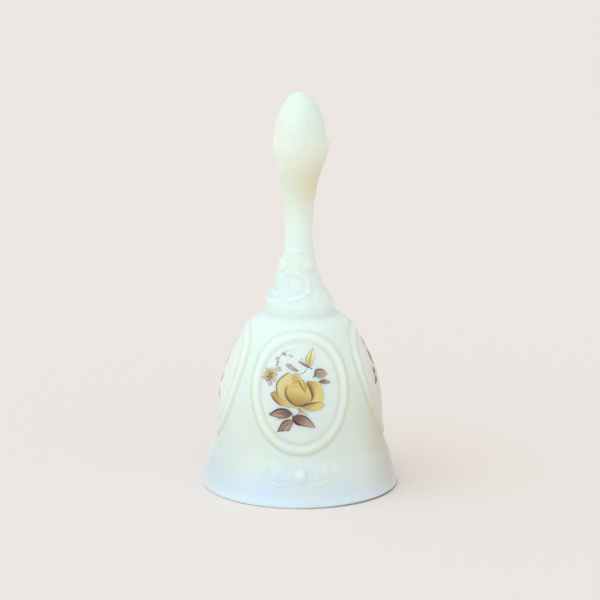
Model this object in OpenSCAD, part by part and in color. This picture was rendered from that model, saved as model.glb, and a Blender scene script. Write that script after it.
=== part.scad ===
// Hand bell of pressed opal glass with a clapper on a wire chain.
// The bell stands on its rim: the origin is the middle of the mouth, +Z points up the handle,
// and the first medallion faces -Y. All sizes are in millimetres.

/* [Glass bell] */
// Height from the rim to the tip of the handle
bell_h = 172; // [160:1:185]
// Widest diameter, at the rim
mouth_d = 85.2; // [80:0.4:92]
// Thickness of the skirt's wall
wall = 3.2; // [2.8:0.1:3.6]
// Radius that rounds the edge of the rim
rim_round = 0.9; // [0.5:0.1:1.2]

/* [Pressed relief] */
// Number of medallions around the skirt
medallions = 4; // [2:1:4]
// Width of a medallion's raised frame, across its middle line
frame_w = 37; // [30:1:40]
// Height of a medallion's raised frame, along its middle line
frame_h = 47; // [40:1:50]
// How far a frame stands out of the skirt
frame_proud = 0.7; // [0.3:0.1:1]

/* [Anchor] */
// Radius of the pocket in the crown
pocket_r = 5; // [4:0.5:6]
// Depth of the pocket in the crown
pocket_depth = 6; // [4:0.5:8]
// Thickness of the staple's wire
staple_wire = 1.2; // [1:0.1:1.4]
// Radius of the staple's bend, to the middle of its wire
staple_bend = 2; // [1.8:0.1:2.4]

/* [Chain and clapper] */
// Number of links between the staple and the clapper pin
link_count = 7; // [5:1:7]
// Thickness of the chain's wire
link_wire = 1; // [0.8:0.1:1]
// Radius of a link's bends, to the middle of its wire
link_bend = 1.8; // [1.7:0.1:2]
// Straight length of a link's sides
link_side = 2.6; // [2:0.1:2.8]
// Play between one wire and the next
wire_play = 0.1; // [0.05:0.05:0.2]
// Diameter of the glass bead that strikes the bell
bead_d = 14; // [12:0.5:15]
// Thickness of the pin that carries the bead
pin_d = 1.2; // [1:0.1:1.4]
// Running clearance between the bead and its pin, on the radius
bead_clearance = 0.05; // [0.02:0.01:0.1]

/* [Hidden] */
$fn = 48;
link_names = [for (i = [1:link_count]) str("chain_link_", i)];

mouth_r = mouth_d / 2;
// The outline's points are given for a bell of 42.6 mm mouth radius and 172 mm height.
wide = mouth_r / 42.6;
tall = bell_h / 172;
over = 0.01;

// Skirt from above the rim to the shoulder: the flare, the upright belly, the dome
skirt_points = [
    [42.6, 1.2], [41.2, 6.5], [38.7, 15], [36.7, 20.6], [36.1, 26], [36, 34], [34.5, 45.3],
    [31.1, 56], [25.9, 66.3], [21.4, 72.6], [17.4, 75.4]
];
// Handle from the groove over the shoulder: collar, waist, bulb, pointed tip
handle_points = [
    [15.6, 76.2], [14.8, 80.2], [12.4, 85.5], [9.7, 92], [7.8, 99], [6.2, 105.5], [5.8, 112],
    [6.3, 122.6], [8.1, 133], [10.4, 141], [11.3, 150], [10.4, 158.8], [8.3, 164.4], [5.3, 169.2],
    [2.4, 171.4]
];
// Height at which the inside turns from the dome into the flat crown
crown_z = 70.4 * tall;

// A point on the smooth curve through b and c, between its neighbours a and d
function curve_point(a, b, c, d, t) =
    0.5 * (2 * b + (c - a) * t + (2 * a - 5 * b + 4 * c - d) * t * t + (3 * b - a - 3 * c + d) * t * t * t);
// Smooth curve through all the points of a list, each stretch cut in steps
function smooth(p, steps) = concat(
    [for (i = [0:len(p) - 2], s = [0:steps - 1])
        curve_point(p[max(i - 1, 0)], p[i], p[i + 1], p[min(i + 2, len(p) - 1)], s / steps)],
    [p[len(p) - 1]]
);
function sized(p) = [for (q = p) [q[0] * wide, q[1] * tall]];
// Unit normal of a curve at point i, to the right of its direction of travel
function normal_at(c, i) =
    let (along = c[min(i + 1, len(c) - 1)] - c[max(i - 1, 0)])
    [along[1], -along[0]] / norm(along);
function shifted(c, by) = [for (i = [0:len(c) - 1]) c[i] + by * normal_at(c, i)];
function arc(centre, r, from, to, steps) =
    [for (s = [0:steps]) centre + r * [cos(from + (to - from) * s / steps), sin(from + (to - from) * s / steps)]];
function reversed(c) = [for (i = [len(c) - 1:-1:0]) c[i]];

skirt = smooth(sized(skirt_points), 3);
handle = smooth(sized(handle_points), 3);
outside = concat(skirt, handle);
// The inner wall follows the skirt at the wall's thickness, as far as the dome's top
inner_wall = [for (p = shifted(skirt, -wall)) if (p[1] < crown_z - 2.5 && p[1] > rim_round + 1) p];
rim_inner_r = mouth_r - wall - 0.2;
table = [for (p = outside) [p[1], p[0]]];
function surface_r(z) = lookup(z, table);

frame_z = 47.3 * tall;
ridge_w = 3.6;
oval_steps = 48;

// Heights along the chain, from the top down
link_len = link_side + 2 * link_bend;
staple_low = 62 * tall;
function pivot_z(i) = i == 0
    ? staple_low
    : pivot_z(i - 1) + (i == 1 ? (staple_wire + link_wire) / 2 : link_wire) + wire_play - link_len;
eye_bend = 1.7;
eye_z = pivot_z(link_count) + link_wire + wire_play - eye_bend;
// Turns of wire wrapped round the pin under its eye, each sunk a little into the next
wrap_wire = 0.9;
wrap_pitch = 0.75;
wrap_turns = 2;
wrap_top = eye_z - eye_bend - link_wire / 2 + 0.1 - wrap_wire / 2;
wrap_low = wrap_top - wrap_pitch * (wrap_turns - 1) - wrap_wire / 2;
bead_flat = 0.2;
bead_play = 0.15;
bead_z = wrap_low - bead_play - bead_d / 2 + bead_flat;
head_top = bead_z - bead_d / 2 + bead_flat - bead_play;
head_r = 1.6;
head_t = 0.9;

// ---- glass ----

module bell_blank() {
    rotate_extrude() polygon(concat(
        [[0, 0]],
        arc([mouth_r - rim_round, rim_round], rim_round, -90, -8, 5),
        outside,
        [[0, bell_h]]
    ));
}

module inside_space() {
    rotate_extrude() polygon(concat(
        [[0, -1], [rim_inner_r + rim_round, -1]],
        arc([rim_inner_r + rim_round, rim_round], rim_round, -90, -180, 5),
        inner_wall,
        [[14 * wide, crown_z - 0.6], [9 * wide, crown_z], [0, crown_z]]
    ));
}

function oval(w, h) = [for (i = [0:oval_steps - 1])
    [w / 2 * cos(360 * i / oval_steps), h / 2 * sin(360 * i / oval_steps)]];

// Oval ring that runs out from the axis through the skirt, before it is trimmed to the relief
module frame_ring(az, width) {
    rotate([0, 0, az]) translate([0, 0, frame_z]) rotate([90, 0, 0])
        linear_extrude(height = mouth_r) difference() {
            polygon(oval(frame_w + width, frame_h + width));
            polygon(oval(frame_w - width, frame_h - width));
        }
}

// Skin of the skirt, from inside the glass to the given height over its surface
module relief_skin(proud) {
    rotate_extrude() polygon(concat(shifted(skirt, proud), reversed(shifted(skirt, -wall / 3))));
}

// Two steps of ridge, the narrow one on the wide one, round off each frame
module medallion_frames() {
    for (step = [[ridge_w, frame_proud * 0.55], [ridge_w / 2, frame_proud]])
        intersection() {
            for (i = [0:medallions - 1]) frame_ring(i * 360 / medallions, step[0]);
            relief_skin(step[1]);
        }
}

// Round boss of radius r that stands a little out of the glass, x along the surface from az
module boss(az, x, z, r, proud) {
    rotate([0, 0, az + x / surface_r(z) * 180 / PI])
        translate([0, -surface_r(z) - proud + r, z]) sphere(r);
}

// Rose on the base of the handle: five petals about a heart, with a leaf on each side
module rosette(az) {
    petals = 5;
    for (i = [0:petals - 1])
        boss(az, 3.2 * sin(72 * i), 90 * tall + 3.4 * cos(72 * i), 2.6, 0.6);
    boss(az, 0, 90 * tall, 2.4, 1.1);
    for (side = [-1, 1]) boss(az, 3.4 * side, 98 * tall, 2.2, 0.6);
}

// Bead and two scroll ends in the band over the rim
module band_bead(az) {
    boss(az, 0, 12.7 * tall, 2.2, 0.5);
    for (side = [-1, 1]) boss(az, 8 * side, 15 * tall, 2.6, 0.4);
}

module glass_bell() {
    color([0.89, 0.94, 0.86]) difference() {
        union() {
            bell_blank();
            medallion_frames();
            for (i = [0:medallions - 1]) {
                rosette(i * 360 / medallions);
                band_bead(i * 360 / medallions);
            }
            for (az = [90, 270]) boss(az, 0, 148.6 * tall, 4.5, 1.1);
        }
        inside_space();
        cylinder(r = pocket_r, h = crown_z + pocket_depth);
    }
}

// ---- anchor ----

module wire_bend(bend, wire) {
    rotate_extrude(angle = 180) translate([bend, 0]) circle(r = wire / 2);
}

module staple_shape() {
    leg_top = crown_z + pocket_depth - 1.4;
    bend_z = staple_low + staple_bend;
    translate([0, 0, bend_z]) rotate([-90, 0, 0]) wire_bend(staple_bend, staple_wire);
    for (side = [-1, 1]) {
        translate([side * staple_bend, 0, bend_z]) cylinder(r = staple_wire / 2, h = leg_top - bend_z);
        translate([side * staple_bend, 0, leg_top]) sphere(staple_wire / 2);
        translate([side * staple_bend, 0, leg_top]) rotate([0, side * 90, 0])
            cylinder(r = staple_wire / 2, h = pocket_r - staple_bend - 0.8);
    }
}

// Plug of cement that fills the pocket, with a low dome under it
module anchor_cement() {
    dome_r = 12;
    dome_half = asin(pocket_r / dome_r);
    color([0.82, 0.80, 0.74]) difference() {
        rotate_extrude() polygon(concat(
            [[0, crown_z + pocket_depth]],
            arc([0, crown_z + dome_r * cos(dome_half)], dome_r, -90, -90 + dome_half, 6),
            [[pocket_r, crown_z + pocket_depth]]
        ));
        staple_shape();
    }
}

module anchor_staple() {
    color([0.72, 0.58, 0.30]) staple_shape();
}

// ---- chain ----

// Oval link in the XZ plane, with its lower bend's wire centre on the given height
module oval_link(low_z) {
    for (end = [0, 1])
        translate([0, 0, low_z + link_bend + end * link_side])
            rotate([end == 0 ? -90 : 90, 0, 0]) wire_bend(link_bend, link_wire);
    for (side = [-1, 1])
        translate([side * link_bend, 0, low_z + link_bend]) cylinder(r = link_wire / 2, h = link_side);
}

// Odd links stand across the staple's plane and even ones along it
module chain_link(i) {
    color([0.76, 0.62, 0.33]) rotate([0, 0, i % 2 == 1 ? 90 : 0]) oval_link(pivot_z(i));
}

// ---- clapper ----

module clapper_pin() {
    eye_turn = link_count % 2 == 1 ? 0 : 90;
    color([0.76, 0.62, 0.33]) {
        translate([0, 0, eye_z]) rotate([90, 0, eye_turn])
            rotate_extrude() translate([eye_bend, 0]) circle(r = link_wire / 2);
        translate([0, 0, head_top - over]) cylinder(r = pin_d / 2, h = eye_z - eye_bend - head_top + over);
        for (i = [0:wrap_turns - 1])
            translate([0, 0, wrap_top - wrap_pitch * i])
                rotate_extrude() translate([pin_d / 2 + wrap_wire * 0.4, 0]) circle(r = wrap_wire / 2);
        rotate_extrude() polygon(concat(
            [[0, head_top - head_t]],
            arc([head_r - head_t / 2, head_top - head_t / 2], head_t / 2, -90, 90, 8),
            [[0, head_top]]
        ));
    }
}

module clapper_bead() {
    cut = bead_d / 2 - bead_flat;
    color([0.85, 0.90, 0.88]) difference() {
        intersection() {
            translate([0, 0, bead_z]) sphere(bead_d / 2);
            translate([0, 0, bead_z - cut]) cylinder(r = bead_d, h = 2 * cut);
        }
        translate([0, 0, bead_z - bead_d]) cylinder(r = pin_d / 2 + bead_clearance, h = 2 * bead_d);
    }
}

glass_bell();
anchor_cement();
anchor_staple();
for (i = [1:link_count])
    chain_link(i);
clapper_pin();
clapper_bead();
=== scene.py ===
# %% [markdown]
# # A hand bell of pressed opal glass
#
# This lesson dresses a finished CAD frame of a glass hand bell. The frame already holds every size, the
# chain's hinges and the clapper. What is left is the part that the eye judges: the pressed relief, the
# satin glass that lets light sink in, the flowers painted in enamel, and the brass and glass of the clapper.

# %% Load the frame
import math

import bpy
import numpy as np
from mathutils import Matrix, Vector


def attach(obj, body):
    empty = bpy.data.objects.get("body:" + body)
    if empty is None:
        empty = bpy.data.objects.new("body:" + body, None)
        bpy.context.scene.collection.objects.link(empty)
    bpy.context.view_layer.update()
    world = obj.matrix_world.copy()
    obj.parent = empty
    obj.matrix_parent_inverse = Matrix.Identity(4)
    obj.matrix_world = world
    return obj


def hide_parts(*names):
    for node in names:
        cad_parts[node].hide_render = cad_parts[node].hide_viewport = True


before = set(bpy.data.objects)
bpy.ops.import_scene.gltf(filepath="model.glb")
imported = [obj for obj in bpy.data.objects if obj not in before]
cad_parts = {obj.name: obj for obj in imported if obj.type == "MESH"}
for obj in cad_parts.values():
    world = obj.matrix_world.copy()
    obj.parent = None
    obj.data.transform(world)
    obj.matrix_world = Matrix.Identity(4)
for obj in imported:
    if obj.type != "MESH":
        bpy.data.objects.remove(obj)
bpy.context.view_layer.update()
MM = 0.001

# %% [markdown]
# ## Helpers
#
# Operators act on whatever is selected, so each new piece starts from an empty selection. Colours are
# written as the sRGB hex values that a paint chart would give, and one function turns them into the linear
# values that the renderer adds up. One more function adds a shader node, sets it and links it.

# %% Selection, colours and nodes
def deselect():
    if bpy.context.mode != "OBJECT":
        bpy.ops.object.mode_set(mode="OBJECT")
    bpy.ops.object.select_all(action="DESELECT")


def select_only(piece):
    deselect()
    piece.select_set(True)
    bpy.context.view_layer.objects.active = piece


def linear(hex_colour):
    channels = [int(hex_colour[i:i + 2], 16) / 255 for i in (1, 3, 5)]
    return [c / 12.92 if c <= 0.04045 else ((c + 0.055) / 1.055) ** 2.4 for c in channels]


def add_node(tree, kind, inputs=None, **settings):
    """Adds a node. An input takes a socket or a value; a setting is a property, or else an input's value."""
    node = tree.nodes.new(kind)
    for name, value in settings.items():
        if hasattr(node, name):
            setattr(node, name, value)
        else:
            node.inputs[name.replace("_", " ")].default_value = value
    for name, source in (inputs or {}).items():
        if isinstance(source, bpy.types.NodeSocket):
            tree.links.new(source, node.inputs[name])
        else:
            node.inputs[name].default_value = source
    return node


def new_material(name):
    material = bpy.data.materials.new(name)
    material.use_nodes = True
    shader = material.node_tree.nodes["Principled BSDF"]
    return material, material.node_tree, shader


def set_ramp(node, stops):
    """Gives a colour ramp its stops, as (position, hex colour) from low to high."""
    ramp = node.color_ramp
    while len(ramp.elements) < len(stops):
        ramp.elements.new(1.0)
    for element, (place, colour) in zip(ramp.elements, stops):
        element.position = place
        element.color = linear(colour) + [1.0]


print("a mid grey in linear light:", round(linear("#808080")[0], 3))

# %% [markdown]
# ## Camera, floor and light
#
# Small goods are best shown from far back with a long lens, so that the rim stays a shallow oval. The camera
# is almost a metre away and a little above the bell. The floor is one wide pale sheet that fills the frame.
# The bell stands in a light tent that is brighter and cooler on its left than on its right, and the key light
# is broad and comes from the upper left, so the only shadow is a faint one to the right.

# %% Place the camera
CAMERA_BACK = 0.950
CAMERA_UP = 0.285
CAMERA_TILT = math.radians(12.10)

deselect()
bpy.ops.object.camera_add(location=(0, -CAMERA_BACK, CAMERA_UP), rotation=(math.pi / 2 - CAMERA_TILT, 0, 0))
camera = bpy.context.object
camera.name = "studio_camera"
camera.data.sensor_width = 36
camera.data.lens = 134.5
camera.data.clip_start = 0.01
bpy.context.scene.camera = camera
print("camera sees", round(math.degrees(camera.data.angle), 2), "degrees")

# %% Lay the floor and hang the lights
scene = bpy.context.scene
scene.view_settings.view_transform = "Standard"

deselect()
bpy.ops.mesh.primitive_plane_add(size=16)
floor = bpy.context.object
floor.name = "studio_floor"
paper, _, paper_shader = new_material("matt_studio_paper")
paper_shader.inputs["Base Color"].default_value = linear("#EFE6E5") + [1]
paper_shader.inputs["Roughness"].default_value = 0.9
paper_shader.inputs["Specular IOR Level"].default_value = 0.0
floor.data.materials.append(paper)

world = bpy.data.worlds.new("studio_air")
scene.world = world
world.use_nodes = True
air = world.node_tree.nodes["Background"]
# The tent's light by direction, from its back right at 0 to its front left at 1
FRONT_LEFT = (-0.60, -0.80, 0)
TENT_DARK = (0.68, 0.58, 0.50, 1)
TENT_BRIGHT = (1.02, 1.09, 1.10, 1)
tree = world.node_tree
way = add_node(tree, "ShaderNodeTexCoord")
to_left = add_node(tree, "ShaderNodeVectorMath", {0: way.outputs["Generated"], 1: FRONT_LEFT},
                   operation="DOT_PRODUCT")
side = add_node(tree, "ShaderNodeMapRange", {"Value": to_left.outputs["Value"]}, From_Min=-1, From_Max=1)
tent = add_node(tree, "ShaderNodeMix", {0: side.outputs["Result"], 6: TENT_DARK, 7: TENT_BRIGHT},
                data_type="RGBA")
tree.links.new(tent.outputs[2], air.inputs["Color"])
air.inputs["Strength"].default_value = 1.02

deselect()
bpy.ops.object.light_add(type="SUN", rotation=(math.radians(39), 0, math.radians(-42)))
key = bpy.context.object
key.name = "broad_key"
key.data.angle = math.radians(75)
key.data.energy = 0.62
key.data.color = linear("#DCFDFF")
print("lights:", key.name, "and the room's own air")

# %% [markdown]
# ## The bell's outline
#
# Pressed glass comes out of a mould that is a solid of revolution with relief cut into it. So the bell is
# made as a turner would make it: one outline, spun round the axis. The outline follows a few listed points,
# and a smooth curve runs through them. Points sit closer together where relief has to be pressed.

# %% Draw the outline
MOUTH_R = 42.6
RIM_ROUND = 0.9
WALL = 3.2
CROWN_Z = 70.4
POCKET_R = 5.0
POCKET_TOP = 76.4
BELL_TOP = 172
SKIRT = [
    (42.6, 1.2), (41.2, 6.5), (38.7, 15), (36.7, 20.6), (36.1, 26), (36, 34), (34.5, 45.3),
    (31.1, 56), (25.9, 66.3), (21.4, 72.6), (17.4, 75.4),
]
HANDLE_BASE = [
    (16.0, 76.1), (15.35, 76.9), (15.1, 78.1), (15.1, 79.4), (14.9, 81.0), (13.9, 82.8), (12.1, 85.8),
    (9.1, 92), (7.35, 99), (6.1, 105.5),
]
HANDLE_TOP = [
    (5.8, 112), (6.3, 122.6), (8.1, 133), (10.4, 141), (11.3, 150), (10.4, 158.8), (8.3, 164.4),
    (5.3, 169.2), (2.4, 171.4),
]


def smooth(points, gap):
    """Points about gap apart on the smooth curve that runs through all the given points."""
    points = [Vector(p) for p in points]
    curve = []
    for i in range(len(points) - 1):
        a, b = points[max(i - 1, 0)], points[i]
        c, d = points[i + 1], points[min(i + 2, len(points) - 1)]
        steps = max(1, round((c - b).length / gap))
        for s in range(steps):
            t = s / steps
            curve.append(0.5 * (2 * b + (c - a) * t + (2 * a - 5 * b + 4 * c - d) * t * t
                                + (3 * b - a - 3 * c + d) * t ** 3))
    return curve + [points[-1]]


def arc(centre, radius, start, end, steps):
    angles = [math.radians(start + (end - start) * s / steps) for s in range(steps + 1)]
    return [Vector((centre[0] + radius * math.cos(a), centre[1] + radius * math.sin(a))) for a in angles]


skirt = smooth(SKIRT, 0.7)
handle_points = HANDLE_BASE + HANDLE_TOP
fine_handle = [p for p in smooth(handle_points, 0.5) if p.y < 107]
handle = fine_handle + [p for p in smooth(handle_points, 1.4) if p.y >= 107]
outside = skirt + handle + [Vector((1.1, 171.9)), Vector((0, BELL_TOP))]

wall_curve = smooth(SKIRT, 2.5)
inner_wall = []
for before, here, after in zip(wall_curve, wall_curve[1:], wall_curve[2:]):
    along = (after - before).normalized()
    point = here - WALL * Vector((along.y, -along.x))
    if RIM_ROUND + 1 < point.y < CROWN_Z - 2.5:
        inner_wall.append(point)
foot_inner = MOUTH_R - WALL - 0.2 + RIM_ROUND
inside = [Vector((0, POCKET_TOP)), Vector((POCKET_R, POCKET_TOP)), Vector((POCKET_R, CROWN_Z)),
          Vector((9, CROWN_Z)), Vector((14, CROWN_Z - 0.6))]
inside += list(reversed(inner_wall))
inside += arc((foot_inner, RIM_ROUND), RIM_ROUND, 180, 270, 5)
foot = arc((MOUTH_R - RIM_ROUND, RIM_ROUND), RIM_ROUND, -90, -8, 5)
outline = inside + foot + outside
print("points in the outline:", len(outline))

# %% [markdown]
# ## Spin the blank
#
# A plane shrunk to a single point is the start. The point is extruded from one place of the outline to the
# next, and the finished line is spun through a full turn. Doubles at the seam and on the axis are merged.

# %% Spin the outline
TURNS = 360


def spin_outline(name, points, steps):
    deselect()
    start = points[0]
    bpy.ops.mesh.primitive_plane_add(size=MM, location=(start.x * MM, 0, start.y * MM))
    piece = bpy.context.object
    piece.name = name
    bpy.ops.object.transform_apply(location=True)
    bpy.ops.object.mode_set(mode="EDIT")
    bpy.ops.mesh.select_all(action="SELECT")
    bpy.ops.mesh.merge(type="CENTER")
    for here, there in zip(points, points[1:]):
        step = ((there.x - here.x) * MM, 0, (there.y - here.y) * MM)
        bpy.ops.mesh.extrude_region_move(TRANSFORM_OT_translate={"value": step})
    bpy.ops.mesh.select_all(action="SELECT")
    bpy.ops.mesh.spin(steps=steps, angle=math.tau, center=(0, 0, 0), axis=(0, 0, 1), use_auto_merge=True)
    bpy.ops.mesh.select_all(action="SELECT")
    bpy.ops.mesh.remove_doubles(threshold=0.00001)
    bpy.ops.mesh.normals_make_consistent(inside=False)
    bpy.ops.object.mode_set(mode="OBJECT")
    return piece


bell = spin_outline("pressed_glass_bell", outline, TURNS)
print("triangles in the bell:", sum(len(f.vertices) - 2 for f in bell.data.polygons))

# %% [markdown]
# ## Press the relief
#
# In the mould, the relief is cut as shallow hollows. Here each kind of relief is a height map over the
# outside of the blank: it is painted as a vertex group, from 0 to 1, and a Displace modifier lifts or sinks
# the surface by its height. That is the same as weight painting by hand, but with the shapes written down.

# %% Measure the surface
verts = np.empty(len(bell.data.vertices) * 3)
bell.data.vertices.foreach_get("co", verts)
verts = verts.reshape(-1, 3) / MM
radius = np.hypot(verts[:, 0], verts[:, 1])
height = verts[:, 2]
# Azimuth from the first medallion, which faces -Y, positive towards +X
azimuth = np.degrees(np.arctan2(verts[:, 0], -verts[:, 1]))

outer_z = np.array([p.y for p in outside])
outer_r = np.array([p.x for p in outside])
outer_arc = np.concatenate([[0], np.cumsum(np.hypot(np.diff(outer_z), np.diff(outer_r)))])
is_outside = radius > np.interp(height, outer_z, outer_r) - 1.0


def arc_at(z):
    return np.interp(z, outer_z, outer_arc)


def quarter(offset=0.0):
    """Azimuth from the nearest of four places a quarter turn apart."""
    return (azimuth - offset + 45) % 90 - 45


def local(z, offset=0.0):
    """Flat coordinates in mm about four places on the surface: x along the turn, y up the outline."""
    return np.radians(quarter(offset)) * radius, arc_at(height) - arc_at(z)


def bump(distance, width):
    """Round-topped ridge, 1 on its middle line and 0 from its width on."""
    return np.where(np.abs(distance) < width, np.cos(distance / width * math.pi / 2) ** 2, 0.0)


def step_up(value, low, high):
    t = np.clip((value - low) / (high - low), 0, 1)
    return t * t * (3 - 2 * t)


# In mm; no ridge, rounded edge or brush line is as wide as this
REACH = 4.0
FAR = 1000.0


def distances(spots, points, closed):
    """Each spot's distance from a chain of points, how far along the chain that is, and if it is inside."""
    points = np.array([tuple(p) for p in points])
    starts = points if closed else points[:-1]
    ends = np.roll(points, -1, axis=0) if closed else points[1:]
    length = np.concatenate([[0], np.cumsum(np.hypot(*(ends - starts).T))])
    # Only the spots within REACH of the chain's own box are worked out, and the rest are called far away
    in_box = ((spots > points.min(axis=0) - REACH) & (spots < points.max(axis=0) + REACH)).all(axis=1)
    few = spots[in_box]
    near = np.full(len(few), FAR)
    along = np.zeros(len(few))
    inside = np.zeros(len(few), bool)
    for i, (a, b) in enumerate(zip(starts, ends)):
        step = b - a
        t = np.clip(((few - a) @ step) / max(float(step @ step), 1e-9), 0, 1)
        gap = np.hypot(*(few - a - t[:, None] * step).T)
        closer = gap < near
        near[closer] = gap[closer]
        along[closer] = (length[i] + t[closer] * (length[i + 1] - length[i])) / length[-1]
        if closed and a[1] != b[1]:
            crosses = (a[1] > few[:, 1]) != (b[1] > few[:, 1])
            inside ^= crosses & (few[:, 0] < a[0] + (few[:, 1] - a[1]) * step[0] / step[1])
    answers = []
    for values, rest in ((near, FAR), (along, 0.0), (inside, False)):
        answer = np.full(len(spots), rest)
        answer[in_box] = values
        answers.append(answer)
    return answers


def press(name, weights, lift, direction="NORMAL"):
    """Lifts the outside of the bell by lift mm where the weights are 1; a negative lift sinks it."""
    weights = np.where(is_outside, np.clip(weights, 0, 1), 0)
    group = bell.vertex_groups.new(name=name)
    for i in np.nonzero(weights > 0.002)[0]:
        group.add([int(i)], float(weights[i]), "REPLACE")
    select_only(bell)
    modifier = bell.modifiers.new(name, "DISPLACE")
    modifier.direction = direction
    modifier.mid_level = 0
    modifier.strength = lift * MM
    modifier.vertex_group = name
    bpy.ops.object.modifier_apply(modifier=name)
    print(f"{name}: {int((weights > 0.002).sum())} points, {lift} mm")
    return weights


# %% [markdown]
# ### Medallions
#
# Each medallion is an oval plate with a rounded frame between two narrow grooves. The distance from the
# frame's middle line is worked out from the oval's own equation, so the frame keeps its width all round.

# %% Medallion frames
MEDALLION_Z = 48.5
FRAME_HALF_W = 19.9
FRAME_HALF_H = 24.6
FRAME_EDGE = 2.5
GROOVE_OUT = 2.45
FRAME_LIFT = 0.72
GROOVE_SINK = 0.24
BETWEEN_SINK = 0.55

x, y = local(MEDALLION_Z)
oval = np.hypot(x / FRAME_HALF_W, y / FRAME_HALF_H)
slope = np.hypot(x / FRAME_HALF_W ** 2, y / FRAME_HALF_H ** 2) / np.maximum(oval, 1e-6)
from_frame = (oval - 1) / np.maximum(slope, 1e-6)

between = step_up(from_frame, 1.5, 7) * step_up(height, 24, 33) * (1 - step_up(height, 58, 70))
grooves = bump(from_frame - GROOVE_OUT, 1.3) + 0.9 * bump(from_frame + GROOVE_OUT, 1.4)
press("between_medallions", between, -BETWEEN_SINK)
press("medallion_frames", bump(from_frame, FRAME_EDGE), FRAME_LIFT)
grooves = press("medallion_grooves", grooves * (1 - 0.45 * step_up(height, 58, 70)), -GROOVE_SINK)

# %% [markdown]
# ### Roses, leaves and scrolls
#
# The relief on the handle's base is a wild rose with a leaf on each side. The band over the rim carries two
# scrolls under every medallion, with a bead between them under each rose and a low palmette under each spray.
# All of it is soft, because the acid that gives the glass its satin skin also eats the edges of the relief.

# %% Roses on the base of the handle
def seen_from(turn):
    """Flat coordinates in mm as seen from one side: x across and the height. The far side is sent away."""
    gap = np.radians((azimuth - turn + 180) % 360 - 180)
    spots = np.stack([radius * np.sin(gap), height], axis=1)
    spots[np.abs(gap) > math.pi / 2] = (500, 500)
    return spots


def pad(spots, points, soft=1.1):
    """A closed patch that is 1 inside and rolls down to 0 at its edge."""
    near, _, inside_patch = distances(spots, smooth(points + points[:1], 0.5)[:-1], True)
    return np.where(inside_patch, step_up(near, 0, soft), 0)


def buds(spots, places):
    """Small round humps, each given as x, z, radius and height share."""
    humps = [
        share * (1 - step_up(np.hypot(*(spots - (x, z)).T) / size, 0.2, 1.0))
        for x, z, size, share in places
    ]
    return np.max(humps, axis=0)


def ridge(spots, points, width):
    """A round ridge along a smooth line, with ends that run out."""
    near, along, _ = distances(spots, smooth(points, 0.4), False)
    return bump(near, width) * step_up(np.sin(along * math.pi), -0.2, 0.5)


ROSE_LIFT = 1.2
# The share that counts as the full lift, since some leaves stand higher than the flower
FULL_SHARE = 1.8
HEART = np.array((-1.1, 89.1))
FLOWER = [
    (-6.4, 93.6), (-5.2, 95.0), (-2.7, 95.2), (0.2, 94.6), (1.8, 93.6), (3.4, 92.9), (4.3, 91.2), (4.2, 89.6),
    (4.8, 88.2), (4.3, 86.8), (2.6, 85.9), (0.9, 84.8), (-1.6, 84.2), (-4.4, 83.3), (-5.4, 84.4),
    (-6.8, 86.0), (-7.2, 88.6), (-6.9, 91.2),
]
PETAL_EDGES = [
    (1.0, [(-6.6, 93.2), (-5.3, 94.7), (-2.7, 94.9), (0.2, 94.2), (2.0, 93.2)]),
    (1.2, [(1.4, 93.5), (3.2, 92.6), (4.1, 91.0), (4.0, 89.4)]),
    (1.2, [(3.9, 89.8), (4.5, 88.2), (4.0, 86.8), (2.4, 86.1)]),
    (1.1, [(3.0, 86.4), (0.9, 85.2), (-1.6, 84.5), (-4.4, 83.8), (-5.2, 84.8)]),
    (0.8, [(-5.2, 84.6), (-6.6, 86.2), (-6.9, 88.6), (-6.6, 91.2), (-6.0, 93.2)]),
    (0.8, [(-8.8, 89.2), (-6.8, 90.0), (-4.8, 90.2)]),
    (0.8, [(-8.5, 88.0), (-6.8, 87.8), (-5.0, 87.2)]),
    (0.7, [(-5.6, 92.6), (-4.2, 93.4), (-3.0, 92.6)]),
]
LEAF_PATCHES = [
    (0.80, [(-17, 80.6), (-17, 85.0), (-13.6, 86.8), (-10.0, 87.4),
            (-7.2, 86.4), (-5.8, 84.2), (-8.3, 81.0)]),
    (1.05, [(6.2, 88.4), (9.4, 86.0), (12.4, 85.2), (13.4, 82.6), (8.3, 82.4), (6.0, 84.4)]),
    (0.35, [(-6.4, 102.2), (-4.8, 104.6), (-0.6, 105.6), (2.8, 104.0),
            (2.2, 102.0), (-1.1, 102.4), (-4.7, 101.4)]),
]
VEINS = [
    [(-13.2, 82.8), (-10.2, 84.4), (-7.0, 85.0)], [(-11.4, 83.6), (-10.8, 85.4)],
    [(-9.2, 84.6), (-8.6, 86.0)], [(6.6, 85.8), (9.0, 84.4), (11.2, 83.4)],
    [(-6.4, 98.8), (-7.8, 96.4)], [(2.2, 97.6), (4.4, 99.4)],
]
LEAF_BUDS = [
    (-13.9, 82.4, 1.7, 1.15), (-12.9, 84.6, 1.5, 1.1), (-10.9, 85.7, 1.5, 1.05), (-9.2, 83.9, 1.6, 1.0),
    (-7.6, 85.9, 1.3, 0.9), (-11.8, 83.0, 1.5, 0.95), (9.8, 84.6, 2.2, 0.9), (-9.0, 97.4, 4.6, 1.8),
    (-10.0, 93.2, 5.4, 1.6), (4.0, 97.9, 3.2, 1.3), (2.2, 96.6, 1.6, 0.8),
]

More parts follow.
